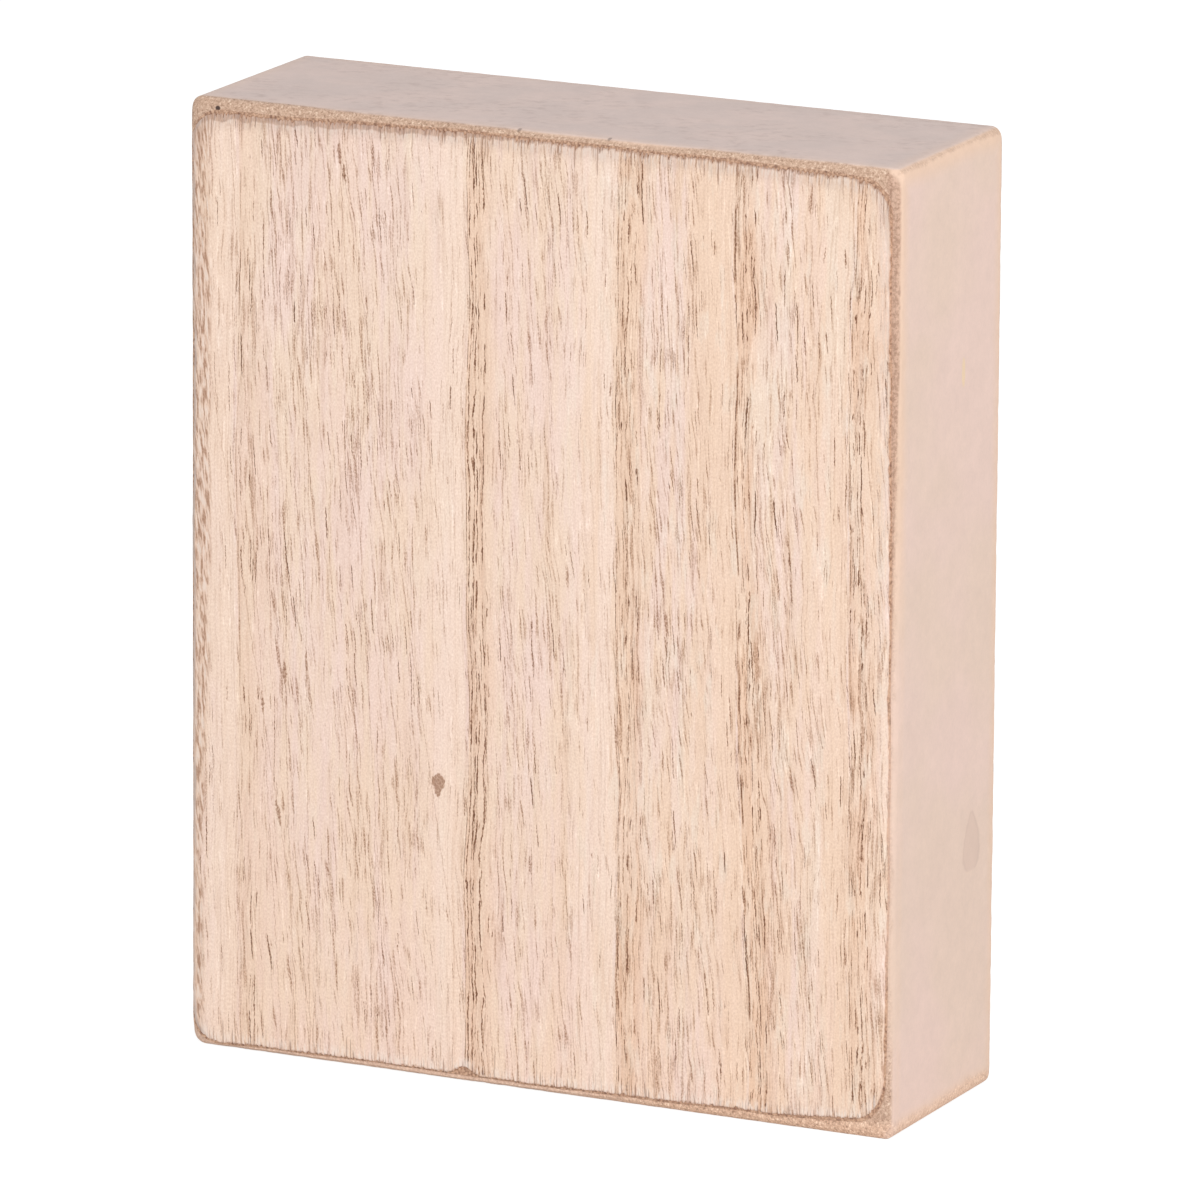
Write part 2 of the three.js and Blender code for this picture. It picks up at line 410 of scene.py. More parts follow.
class Nodes:
    """A material's node tree. The calls add nodes and take numbers, colours or other nodes' outputs."""

    def __init__(self, name):
        self.material = bpy.data.materials.new(name)
        self.material.use_nodes = True
        self.tree = self.material.node_tree
        self.tree.nodes.clear()
        place = self.node("TexCoord")
        split = self.node("SeparateXYZ")
        self.tree.links.new(place.outputs["Object"], split.inputs[0])
        self.x = self.math("MULTIPLY", split.outputs[0], 1 / MM)
        self.y = self.math("MULTIPLY", split.outputs[1], 1 / MM)
        up = self.math("MULTIPLY", split.outputs[2], 1 / MM)
        self.z = self.math("SUBTRACT", up, half_height)

    def node(self, kind, **settings):
        made = self.tree.nodes.new("ShaderNode" + kind)
        for key, value in settings.items():
            setattr(made, key, value)
        return made

    def feed(self, socket, value):
        if isinstance(value, bpy.types.NodeSocket):
            self.tree.links.new(value, socket)
        else:
            socket.default_value = value

    def math(self, operation, a, b=0.0, c=0.0, clamp=False):
        made = self.node("Math", operation=operation, use_clamp=clamp)
        for socket, value in zip(made.inputs, (a, b, c)):
            self.feed(socket, value)
        return made.outputs[0]

    def add(self, a, b):
        return self.math("ADD", a, b)

    def sub(self, a, b):
        return self.math("SUBTRACT", a, b)

    def mul(self, *factors):
        result = factors[0]
        for factor in factors[1:]:
            result = self.math("MULTIPLY", result, factor)
        return result

    def scaled(self, value, factor, offset):
        """The value times the factor, plus the offset."""
        return self.math("MULTIPLY_ADD", value, factor, offset)

    def most(self, a, b):
        return self.math("MAXIMUM", a, b)

    def least(self, a, b):
        return self.math("MINIMUM", a, b)

    def absolute(self, value):
        return self.math("ABSOLUTE", value)

    def root(self, value):
        return self.math("SQRT", value)

    def step(self, value, start, end):
        """0 at start and 1 at end, smooth between them; start may be the larger."""
        made = self.node("MapRange", interpolation_type="SMOOTHSTEP")
        low, high, first, last = (start, end, 0.0, 1.0)
        fixed = not any(isinstance(limit, bpy.types.NodeSocket) for limit in (start, end))
        if fixed and start > end:
            low, high, first, last = end, start, 1.0, 0.0
        for socket, number in zip(made.inputs[:5], (value, low, high, first, last)):
            self.feed(socket, number)
        return made.outputs[0]

    def point(self, x, y, z=0.0):
        made = self.node("CombineXYZ")
        for socket, value in zip(made.inputs, (x, y, z)):
            self.feed(socket, value)
        return made.outputs[0]

    def noise(self, vector, detail=2.0, roughness=0.5):
        """Noise from 0 to 1 whose features are one unit of the vector in size."""
        made = self.node("TexNoise", noise_dimensions="3D")
        self.feed(made.inputs["Vector"], vector)
        made.inputs["Scale"].default_value = 1.0
        made.inputs["Detail"].default_value = detail
        made.inputs["Roughness"].default_value = roughness
        return made.outputs[0]

    def split(self, vector):
        made = self.node("SeparateXYZ")
        self.feed(made.inputs[0], vector)
        return made.outputs

    def chances(self, color):
        """Three random numbers from 0 to 1 out of a random colour."""
        made = self.node("SeparateColor")
        self.feed(made.inputs[0], color)
        return made.outputs

    def attribute(self, name):
        return self.node("Attribute", attribute_name=name).outputs["Fac"]

    def ramp(self, value, stops, kind="LINEAR"):
        """Colours or numbers at places from 0 to 1."""
        made = self.node("ValToRGB")
        made.color_ramp.interpolation = kind
        elements = made.color_ramp.elements
        while len(elements) > 1:
            elements.remove(elements[-1])
        for i, (place, level) in enumerate(stops):
            element = elements[0] if i == 0 else elements.new(place)
            element.position = place
            element.color = level if isinstance(level, tuple) else (level, level, level, 1.0)
        self.feed(made.inputs[0], value)
        return made.outputs[0]

    def blend(self, share, a, b, kind="MIX"):
        made = self.node("Mix", data_type="RGBA", blend_type=kind, clamp_factor=True)
        for socket, value in zip((made.inputs[0], made.inputs[6], made.inputs[7]), (share, a, b)):
            self.feed(socket, value)
        return made.outputs[2]

    def tint(self, color, value):
        """Brightens or darkens a colour by a number near 1."""
        made = self.node("VectorMath", operation="SCALE")
        self.feed(made.inputs[0], color)
        self.feed(made.inputs["Scale"], value)
        return made.outputs[0]

    def shaded(self, color, darkness):
        """A colour darkened towards brown, as thin dark wood does it: 0 leaves it, 1 is a deep pore."""
        left = [self.math("POWER", channel, darkness) for channel in FULL_SHADE]
        return self.blend(1.0, color, self.point(*left), "MULTIPLY")

    def surface(self, color, roughness, height, relief):
        """The finished surface. height is from 0 to 1 and stands for relief millimetres."""
        shader = self.node("BsdfPrincipled")
        self.feed(shader.inputs["Base Color"], color)
        self.feed(shader.inputs["Roughness"], roughness)
        shader.inputs["Specular IOR Level"].default_value = 0.3
        bump = self.node("Bump")
        bump.inputs["Strength"].default_value = 1.0
        bump.inputs["Distance"].default_value = relief * MM
        self.feed(bump.inputs["Height"], height)
        self.tree.links.new(bump.outputs[0], shader.inputs["Normal"])
        output = self.node("OutputMaterial")
        self.tree.links.new(shader.outputs[0], output.inputs[0])
        return self.material


def pores(n, u, z, cell, density, lean, half, soft, seed):
    """Short strokes where the knife opened the wood's vessels: one chance of a stroke in each cell."""
    across, along = cell
    cells = n.node("TexVoronoi", voronoi_dimensions="2D", feature="F1")
    cells.inputs["Scale"].default_value = 1.0
    cells.inputs["Randomness"].default_value = 1.0
    column, row = n.mul(u, 1 / across), n.add(n.mul(z, 1 / along), seed)
    n.feed(cells.inputs["Vector"], n.point(column, row))
    middle = n.split(cells.outputs["Position"])
    chance = n.chances(cells.outputs["Color"])
    right = n.mul(n.sub(column, middle[0]), across)
    up = n.mul(n.sub(row, middle[1]), along)
    half_length = n.mul(n.scaled(chance[1], 0.40, 0.12), along)
    past = n.math("DIVIDE", n.absolute(up), half_length)
    taper = n.math("SUBTRACT", 1.0, n.mul(past, past), clamp=True)
    wide = n.mul(n.scaled(chance[2], 0.9, 0.4), n.root(taper), half)
    aside = n.absolute(n.add(right, n.mul(up, lean)))
    body = n.step(n.sub(aside, wide), soft, -soft)
    there = n.mul(n.math("LESS_THAN", chance[0], density), n.step(taper, 0.0, 0.35))
    return n.mul(body, there, n.scaled(n.mul(chance[1], chance[2]), 0.9, 0.42))


def vessel_lines(n, u, z, pitch, stroke, threshold, half, soft, seed):
    """Broken lines along the grain, one to each column of the pitch, that swell and fade."""
    column = n.math("FLOOR", n.mul(u, 1 / pitch))
    toss = n.node("TexWhiteNoise", noise_dimensions="2D")
    n.feed(toss.inputs["Vector"], n.point(column, seed))
    chance = n.chances(toss.outputs["Color"])
    middle = n.add(column, n.scaled(chance[0], 0.6, 0.2))
    aside = n.absolute(n.sub(u, n.mul(middle, pitch)))
    run = n.noise(n.point(n.mul(column, 7.31), n.mul(z, 1 / stroke), seed), 2.0)
    level = n.scaled(chance[1], 0.2, n.sub(run, n.add(threshold, 0.1)))
    present = n.step(level, 0.0, 0.11)
    bead = n.step(n.noise(n.point(n.mul(column, 3.7), n.mul(z, 1 / 1.5), seed + 2), 2.0), 0.30, 0.66)
    wide = n.mul(present, n.scaled(bead, 0.8, 0.45), half)
    return n.mul(n.step(n.sub(aside, wide), soft, -soft), present, n.scaled(bead, 0.5, 0.5))


def ring_phase(n, u, ring_lines):
    """How far u lies past the ring line on its left and before the next one, and that ring's strength."""
    reach, widest, gap = 80.0, 40.0, 0.0004
    place = n.scaled(u, 1 / (2 * reach), 0.5)
    past, ahead, strength = [], [], []
    for (left, strong), (right, _) in zip(ring_lines, ring_lines[1:]):
        a, b = left / (2 * reach) + 0.5, right / (2 * reach) + 0.5
        past += [(a, 0.0), (b - gap, (right - left) / widest)]
        ahead += [(a, (right - left) / widest), (b - gap, 0.0)]
        strength.append((a, strong))
    since, until = n.mul(n.ramp(place, past), widest), n.mul(n.ramp(place, ahead), widest)
    return since, until, n.ramp(place, strength, "CONSTANT")


def veneer_material(name, ring_lines, seed, mirrored):
    """Whitewashed ring-porous veneer: rows of dark pores past each ring line, then smoother latewood."""
    n = Nodes(name)
    x, z = (n.mul(n.x, -1.0) if mirrored else n.x), n.z

    def patchy(across, along, offset, detail=2.0, roughness=0.5):
        return n.noise(n.point(n.mul(x, 1 / across), n.mul(z, 1 / along), seed + offset), detail, roughness)

    def swing(across, along, offset, reach, detail=1.0):
        return n.mul(n.sub(patchy(across, along, offset, detail), 0.5), 2 * reach)

    drift = n.mul(n.step(x, 12.0, 29.0), n.step(x, 46.0, 31.0), z, 0.0197)
    ring_u = n.add(n.add(x, drift), n.add(swing(60, 55, 0, 1.3), swing(9, 22, 3, 0.9, 2.0)))
    u = n.add(ring_u, n.add(swing(2.6, 9.0, 5, 0.34), swing(0.6, 1.2, 6, 0.09)))
    since, until, ring = ring_phase(n, ring_u, ring_lines)

    def hatching(lean, across, along, offset, threshold, softness):
        """Soft strokes along the grain, in trains, where drawn-out noise passes a threshold near 1."""
        line = n.mul(n.scaled(z, lean, u), 1 / across)
        run = n.noise(n.point(line, n.mul(z, 1 / along), seed + offset), 1.0)
        train = n.noise(n.point(line, n.mul(z, 1 / (5 * along)), seed + offset + 0.5), 0.0)
        return n.step(n.sub(n.scaled(train, 0.7, run), threshold), 0.0, softness)

    spread = n.mul(since, n.scaled(patchy(60, 26, 10), 1.6, 0.15))
    early = n.mul(n.step(spread, 5.6, 2.0), n.step(since, -0.1, 0.3), ring)
    late = n.step(until, 8.0, 1.0)
    middle = n.mul(n.step(since, 2.0, 6.0), n.math("SUBTRACT", 1.0, late))
    busy = n.add(n.mul(n.step(z, 5.0, 50.0), n.step(x, -18.0, -40.0)), n.mul(n.step(x, 3.0, 26.0), 1.1))
    clumps, patches = n.scaled(busy, 0.09, patchy(5, 15, 7, 1.0)), patchy(4, 11, 8)
    open_pores = n.mul(n.scaled(late, -0.75, 1.0), n.step(clumps, 0.43, 0.68))
    lean = n.add(n.scaled(middle, 0.06, 0.02), swing(12, 22, 9, 0.10))
    jagged = n.add(u, swing(0.35, 0.45, 13, 0.10))

    grit = patchy(0.22, 0.34, 21, 2.0, 0.6)
    beads = n.step(patchy(0.19, 0.30, 22, 1.0), 0.36, 0.62)
    threads = hatching(lean=0.0, across=0.42, along=7.0, offset=51, softness=0.35,
                       threshold=n.scaled(early, -0.12, 0.86))
    faint = hatching(lean=0.02, across=0.26, along=4.2, offset=53, softness=0.22,
                     threshold=n.scaled(open_pores, -0.12, 1.00))
    slanting = hatching(lean=0.08, across=0.27, along=3.8, offset=55, softness=0.22,
                        threshold=n.scaled(n.mul(middle, patches), -0.32, 1.12))
    curled = n.add(jagged, swing(0.8, 2.2, 7, 0.14))
    rows = vessel_lines(n, curled, z, pitch=0.58, stroke=4.0, half=0.070, soft=0.048, seed=seed + 41,
                        threshold=n.scaled(early, -0.54, 0.98))
    at_ring_line = n.step(n.absolute(n.sub(since, 0.45)), 0.17, 0.05)
    first = n.mul(at_ring_line, n.step(patchy(50, 7, 12), 0.42, 0.56), ring)
    close = vessel_lines(n, curled, z, pitch=0.36, stroke=5.5, half=0.04, soft=0.05, seed=seed + 43,
                         threshold=n.scaled(early, -0.46, 0.90))
    long = vessel_lines(n, n.scaled(z, 0.02, jagged), z, pitch=1.05, stroke=7.5, half=0.045, soft=0.055,
                        seed=seed + 45, threshold=n.scaled(open_pores, -0.14, 0.69))
    pale = hatching(lean=0.03, across=0.32, along=2.4, offset=59, softness=0.2,
                    threshold=n.scaled(busy, -0.05, 1.04))
    hairs = vessel_lines(n, ring_u, z, pitch=0.70, stroke=22.0, half=0.07, soft=0.10, seed=seed + 47,
                         threshold=n.scaled(late, -0.33, 0.74))
    bold = pores(n, jagged, z, cell=(0.95, 6.5), lean=lean, half=0.055, soft=0.05, seed=seed + 0.3,
                 density=n.scaled(open_pores, 0.36, n.mul(early, 0.3)))
    fine = pores(n, jagged, z, cell=(0.6, 4.2), lean=lean, half=0.038, soft=0.048, seed=seed + 11.1,
                 density=n.scaled(open_pores, 0.42, 0.13))

    mask = n.most(n.most(rows, bold), n.most(n.mul(fine, 0.6), n.mul(close, 0.6)))
    mask = n.most(mask, n.most(n.mul(faint, 0.20), n.mul(slanting, 0.38)))
    mask = n.most(mask, n.most(n.mul(long, 0.9), n.mul(first, 0.7)))
    strength = n.scaled(busy, 0.25, n.scaled(early, 0.50, 0.56))
    strokes = n.mul(mask, n.scaled(beads, 1.75, strength))
    hazes = patchy(3.2, 16, 57, 3.0, 0.55)
    darkness = n.add(strokes, n.add(n.mul(threads, 0.09), n.mul(hairs, 0.15)))
    darkness = n.add(darkness, n.mul(n.step(hazes, 0.48, 0.66), 0.03))
    darkness = n.add(darkness, n.scaled(grit, 0.50, -0.25))
    darkness = n.sub(darkness, n.mul(pale, 0.12))
    if not mirrored:
        darkness = n.add(darkness, front_marks(n, x, z, grit))
    darkness = n.least(darkness, 1.9)

    streaks, clouds = patchy(1.7, 18, 25, 3.0, 0.55), patchy(8, 22, 33)
    blots, bands = patchy(1.8, 9, 35, 3.0, 0.55), patchy(3.6, 95, 37, 3.0, 0.6)
    to_right = n.step(x, -2.0, 16.0)
    base = n.blend(n.step(n.scaled(streaks, 0.6, n.mul(clouds, 0.4)), 0.40, 0.60), CREAM, PINK)
    base = n.blend(n.mul(late, 0.75), base, n.blend(n.step(x, 14.0, 23.0), PALE, WARM))
    stain = n.most(n.mul(early, 0.7), n.mul(to_right, n.step(streaks, 0.52, 0.38), 0.6))
    base = n.blend(stain, base, TAN)
    rows_stain = n.mul(early, n.step(streaks, 0.42, 0.58), n.scaled(to_right, 0.40, 0.25))
    base = n.blend(rows_stain, base, AMBER)
    base = n.blend(n.mul(n.step(bands, 0.48, 0.62), n.scaled(to_right, 0.45, 0.35)), base, TAN)
    base = n.blend(n.mul(n.step(bands, 0.47, 0.35), n.scaled(to_right, 0.2, 0.1)), base, WHITE)
    base = n.blend(n.mul(n.step(blots, 0.54, 0.68), n.scaled(to_right, 0.25, 0.15)), base, WHITE)
    color = n.shaded(base, darkness)
    color = worn_edges(n, x, n.add(x, swing(0.6, 1.2, 6, 0.09)), z, seed, grit, color)
    height = n.sub(n.scaled(grit, 0.3, 0.6), n.mul(mask, 0.55))
    return n.surface(color, n.scaled(streaks, 0.2, 0.56), height, 0.08)


def end_slits(n, u, z, rim, pitch, longest, seed):
    """Thin splits between the fibre ends, one to each column of the pitch, each with a length of its own."""
    column = n.math("FLOOR", n.mul(u, 1 / pitch))
    toss = n.node("TexWhiteNoise", noise_dimensions="2D")
    n.feed(toss.inputs["Vector"], n.point(column, n.scaled(n.math("SIGN", z), 3.0, seed)))
    chance = n.chances(toss.outputs["Color"])
    middle = n.add(column, n.scaled(chance[0], 0.6, 0.2))
    aside = n.absolute(n.sub(u, n.mul(middle, pitch)))
    rest = n.sub(n.mul(chance[1], chance[1], chance[1], longest), rim)
    wide = n.mul(n.step(rest, 0.0, 1.2), n.scaled(chance[2], 0.07, 0.02))
    strength = n.scaled(n.mul(chance[2], chance[0]), 0.7, 0.3)
    return n.mul(n.step(n.sub(aside, wide), 0.07, -0.04), n.step(rest, 0.0, 0.6), strength)


def worn_edges(n, x, u, z, seed, grit, color):
    """The sanding's marks on the veneer: slits between fibre ends, pale fibres, worn margins, a stain, and
    painted shade along the left rim.
    """
    rim = n.attribute("rim")
    from_end = n.sub(half_height, n.absolute(z))
    from_left, from_right = n.add(x, half_width), n.sub(half_width, x)
    near_end = n.step(from_end, 7.0, 5.0)
    fibres = n.noise(n.point(n.mul(u, 1 / 0.30), n.mul(z, 1 / 2.6), seed + 60), 2.0, 0.6)
    ends = n.mul(n.step(rim, 1.8, 0.2), n.step(fibres, 0.44, 0.60), near_end)
    color = n.blend(n.mul(ends, 0.7), color, FIBRE)
    long_slits = end_slits(n, u, z, rim, pitch=0.47, longest=3.6, seed=seed + 61)
    short_slits = end_slits(n, u, z, rim, pitch=0.31, longest=1.6, seed=seed + 62)
    color = n.blend(n.mul(n.most(long_slits, short_slits), near_end), color, WORN)
    leaning = n.add(u, n.mul(z, 0.10))
    scraped = n.noise(n.point(n.mul(leaning, 1 / 0.30), n.mul(z, 1 / 2.3), seed + 63), 2.0, 0.5)
    broad = n.noise(n.point(n.mul(x, 1 / 6.0), n.mul(z, 1 / 7.0), seed + 65), 2.0)
    upper = n.step(z, -45.0, 10.0)
    reach = n.scaled(upper, 1.3, n.scaled(broad, 2.6, 0.5))
    left = n.step(n.sub(from_left, reach), 0.5, -0.5)
    color = n.blend(n.mul(left, 0.5), color, RUBBED)
    color = n.blend(n.mul(left, n.step(scraped, 0.47, 0.38), 0.5), color, FIBRE)
    inward = n.scaled(n.step(from_left, 0.6, 1.2), 0.7, 0.3)
    scrapes = n.mul(left, inward, n.step(scraped, 0.49, 0.60), n.scaled(grit, 1.0, 0.35))
    color = n.blend(scrapes, color, SCRAPED)
    right = n.mul(n.step(from_right, 3.4, 2.2), n.step(z, -40.0, 25.0))
    color = n.blend(n.mul(right, n.step(scraped, 0.58, 0.46), 0.35), color, GREYED)
    # Painted shade: a thin grey-brown rim down the veneer's left edge, where the block's rounding turns away
    # from the light
    shaded_left_rim = n.mul(n.step(rim, 0.50, 0.20), n.step(from_left, 3.0, 1.5))
    color = n.blend(n.mul(shaded_left_rim, n.scaled(n.step(broad, 0.35, 0.6), 0.45, 0.25)), color, LEFT_RIM_SHADE)
    near_top, near_foot = n.step(z, 53.0, 58.0), n.step(z, -53.0, -58.0)
    shade = n.noise(n.point(n.mul(u, 1 / 0.30), n.mul(z, 1 / 1.2), seed + 66), 2.0, 0.6)
    brown = n.blend(n.step(shade, 0.38, 0.62), srgb(148, 112, 94), srgb(196, 158, 134))
    reach = n.scaled(near_top, 0.08, n.scaled(near_foot, 0.03, 0.02))
    reach = n.scaled(n.mul(near_top, n.step(x, 2.0, -18.0)), 0.42, reach)
    strength = n.scaled(near_top, 0.30, n.scaled(near_foot, 0.20, 0.30))
    strength = n.mul(strength, n.step(from_left, 1.5, 3.0))
    stained = n.sub(n.scaled(grit, 0.5, rim), reach)
    color = n.blend(n.mul(n.step(rim, 2.2, 0.6), near_top, 0.22), color, WORN)
    return n.blend(n.mul(n.step(stained, 0.38, 0.12), strength), color, brown)


def spot(n, x, z, centre, radii, seed, ragged=0.5):
    """A blot with a ragged edge, from 0 outside to 1 within."""
    dx = n.mul(n.sub(x, centre[0]), 1 / radii[0])
    dz = n.mul(n.sub(z, centre[1]), 1 / radii[1])
    away = n.root(n.add(n.mul(dx, dx), n.mul(dz, dz)))
    rough = n.noise(n.point(n.mul(x, 3.5), n.mul(z, 1.4), seed), 3.0, 0.6)
    return n.step(n.add(away, n.mul(n.sub(rough, 0.5), ragged * 2)), 1.15, 0.75)


def dash(n, u, z, centre, half_width, half_length, lean):
    """One long opened vessel, ragged along its sides."""
    up = n.sub(z, centre[1])
    past = n.mul(up, 1 / half_length)
    taper = n.math("SUBTRACT", 1.0, n.mul(past, past), clamp=True)
    aside = n.absolute(n.add(n.sub(u, centre[0]), n.mul(up, lean)))
    rough = n.noise(n.point(n.mul(u, 2.6), n.mul(z, 2.2), centre[0]), 3.0, 0.6)
    wide = n.mul(taper, n.scaled(rough, 3.4, -0.9), half_width)
    return n.step(n.sub(aside, wide), 0.10, -0.10)


def front_marks(n, x, z, grit):
    """How much the few marks that stand out darken the front."""
    speckle = n.step(grit, 0.38, 0.62)
    wavy = n.add(x, n.mul(n.noise(n.point(n.mul(x, 0.9), n.mul(z, 0.7), 77.0), 2.0), 0.5))
    dashes = 0.0
    for centre, wide, long, lean in FRONT_DASHES:
        dashes = n.most(dashes, dash(n, wavy, z, (centre[0] + 0.25, centre[1]), wide, long, lean))
    away = n.root(n.add(n.math("POWER", n.sub(x, KNOT[0]), 2.0), n.math("POWER", n.sub(z, KNOT[1]), 2.0)))
    knot = n.step(n.absolute(n.sub(away, KNOT_RADIUS)), 0.55, 0.1)
    up = n.scaled(n.sub(z, FLECK[1]), 1 / FLECK_LENGTH, 0.5)
    rough = n.noise(n.point(n.mul(x, 2.2), n.mul(z, 1.5), 3.1), 3.0, 0.6)
    reach = n.mul(n.math("POWER", n.most(up, 0.0), 0.9), n.step(up, 1.15, 0.75), FLECK_WIDTH / 1.7)
    aside = n.absolute(n.sub(x, FLECK[0]))
    inside = n.mul(n.step(up, -0.05, 0.05), n.step(up, 1.15, 1.05))
    fleck = n.mul(inside, n.step(n.add(n.sub(aside, reach), n.mul(n.sub(rough, 0.5), 1.0)), 0.12, -0.12))
    darkened = n.mul(dashes, n.scaled(speckle, 0.55, 0.50))
    darkened = n.add(darkened, n.mul(knot, speckle, 0.25))
    return n.add(darkened, n.mul(fleck, n.scaled(speckle, 0.3, 0.6)))


def glue_material():
    n = Nodes("glue_line_brown")
    rough = n.noise(n.point(n.mul(n.x, 1 / 0.35), n.mul(n.z, 1 / 0.45), 2.0), 3.0)
    thin = n.noise(n.point(n.mul(n.x, 1 / 2.6), n.mul(n.z, 1 / 2.6), 5.0), 2.0, 0.6)
    color = n.ramp(rough, [(0.34, GLUE_DEEP), (0.48, GLUE), (0.62, GLUE_PALE)])
    near_end = n.step(n.absolute(n.z), 52.0, 58.0)
    paler = n.mul(n.step(thin, 0.47, 0.60), n.scaled(near_end, -0.60, 0.75))
    color = n.blend(paler, color, GLUE_PALE)
    faded = n.mul(n.step(n.x, 40.0, 46.0), n.step(n.z, -2.0, -16.0), n.step(n.z, -47.0, -36.0))
    color = n.blend(n.mul(faded, 0.55), color, srgb(230, 200, 182))
    return n.surface(color, n.scaled(rough, 0.2, 0.5), rough, 0.05)


def board_material():
    """Fibreboard under a thin wash: bare and speckled where the edges were sanded, with painted shade on the
    top and painted light on the bare band along the foot.
    """
    n = Nodes("washed_board")
    where = n.point(n.x, n.y, n.z)

    def rescaled(size, seed):
        made = n.node("VectorMath", operation="MULTIPLY_ADD")
        n.feed(made.inputs[0], where)
        made.inputs[1].default_value = (1 / size,) * 3
        made.inputs[2].default_value = (seed,) * 3
        return made.outputs[0]

    grain = n.noise(rescaled(0.22, 1.0), 2.0, 0.6)
    speck = n.noise(rescaled(0.40, 31.0), 2.0, 0.6)
    mottle = n.noise(rescaled(4.5, 17.0), 3.0, 0.6)
    coarse = n.noise(rescaled(1.6, 4.0), 2.0)
    wide = n.noise(rescaled(9.0, 8.0), 2.0)
    cloud = n.noise(rescaled(22.0, 12.0), 2.0)
    from_front, from_back = n.add(n.y, half_depth), n.sub(half_depth, n.y)
    from_side = n.sub(half_width, n.absolute(n.x))
    from_top, from_bottom = n.sub(half_height, n.z), n.add(n.z, half_height)
    faces, ends = n.least(from_front, from_back), n.least(from_top, from_bottom)
    from_arris = n.most(n.least(faces, from_side), n.least(n.most(faces, from_side), ends))
    top = n.step(from_top, 0.3, 0.05)
    uneven = n.add(n.mul(n.sub(wide, 0.5), 1.0), n.mul(n.sub(coarse, 0.5), 0.9))
    low = n.step(n.scaled(uneven, 2.0, from_bottom), 19.0, 6.0)
    near_end = n.most(n.step(n.add(from_top, uneven), 6.5, 3.5), n.mul(low, n.step(n.x, 0.0, 30.0)))
    near_end = n.most(near_end, n.step(n.add(from_bottom, uneven), 4.5, 2.5))
    top_middle = n.mul(n.step(n.absolute(n.sub(n.x, 9.0)), 16.0, 6.0), n.step(n.z, 0.0, 10.0))
    kept = n.mul(n.step(n.x, -38.0, -24.0), n.step(n.z, 0.0, 10.0), 0.5)
    on_right = n.step(n.x, half_width - 2.2, half_width - 1.0)
    washed = n.add(n.add(kept, n.mul(on_right, 0.75)), n.mul(top_middle, 0.3))
    rounding = n.mul(n.step(n.add(n.scaled(uneven, 0.4, faces), washed), 1.9, 1.3), near_end)
    arris = n.step(n.add(from_arris, uneven), 0.9, 0.3)
    foot = n.step(n.scaled(uneven, 1.2, from_bottom), 2.7, 1.4)
    at_front = n.mul(n.step(from_front, 2.2, 1.5), n.scaled(on_right, -0.8, 1.0))
    arris = n.mul(arris, n.scaled(at_front, 0.45, 0.55))
    midway = n.mul(on_right, n.step(from_front, 2.2, 1.5))
    midway = n.mul(midway, n.step(n.z, 36.0, 14.0), n.step(n.z, -52.0, -44.0))
    arris = n.mul(arris, n.scaled(midway, -0.45, 1.0))
    bare_share = n.most(rounding, n.most(arris, n.mul(foot, 0.6)))
    cooler = n.mul(n.step(from_front, 3.0, 1.5), on_right, n.step(n.z, 20.0, -5.0), 0.6)
    warm_share = n.mul(n.step(n.add(from_arris, uneven), 3.6, 0.8), n.sub(n.scaled(top, -0.6, 0.85), cooler))

    bare = n.ramp(n.scaled(speck, 0.5, n.mul(grain, 0.5)), [
        (0.34, srgb(146, 112, 92)),
        (0.44, srgb(190, 156, 133)),
        (0.55, srgb(212, 179, 155)),
        (0.65, srgb(242, 218, 196)),
    ])
    wash = n.blend(n.step(cloud, 0.38, 0.62), srgb(234, 206, 193), srgb(231, 205, 188))
    # Painted shade: the top's wash is greyer than the sides', for the shade the top lies in
    top_shade_wash = n.blend(n.step(wide, 0.35, 0.65), srgb(229, 207, 198), srgb(223, 203, 195))
    wash = n.blend(top, wash, top_shade_wash)
    wash = n.tint(wash, n.scaled(mottle, 0.10, 0.95))
    wash = n.blend(warm_share, wash, srgb(238, 205, 180))
    wash = n.tint(wash, n.scaled(coarse, 0.09, 0.955))
    wash = n.tint(wash, n.scaled(speck, 0.10, 0.95))
    wash = side_marks(n, wash)
    wash = top_marks(n, wash, top)
    by_foot = n.step(from_bottom, 3.2, 1.6)
    bare = n.blend(n.mul(by_foot, n.step(n.x, 22.0, 2.0), 0.45), bare, srgb(198, 174, 160))
    # Painted light: the bare band along the foot is made up to 30 % brighter, against the shade its
    # downward-facing rounding lies in
    bare = n.tint(bare, n.scaled(by_foot, 0.30, 1.0))
    color = n.blend(n.mul(bare_share, 0.9), wash, bare)
    upright = n.mul(n.step(from_front, 1.7, 0.9), n.step(from_side, 1.5, 0.7), n.step(from_bottom, 0.5, 3.5))
    color = n.tint(color, n.scaled(upright, -0.05, 1.0))
    lighter = n.step(n.scaled(speck, 0.6, n.mul(grain, 0.4)), 0.38, 0.60)
    burnt = n.blend(lighter, srgb(166, 130, 110), srgb(208, 172, 150))
    deep = n.add(n.scaled(n.step(n.z, 8.0, 42.0), 0.28, 0.45), n.mul(n.sub(coarse, 0.5), 0.5))
    by_right = n.step(n.x, half_width - 2.6, half_width - 1.6)
    line = n.mul(n.step(n.sub(from_front, deep), 0.20, -0.15), by_right)
    color = n.blend(n.mul(line, n.scaled(n.step(n.z, -8.0, 14.0), 0.60, 0.20)), color, burnt)
    color = board_specks(n, color)
    height = n.scaled(grain, n.scaled(bare_share, 0.7, 0.10), n.mul(speck, 0.15))
    return n.surface(color, n.scaled(bare_share, 0.2, 0.6), height, 0.08)


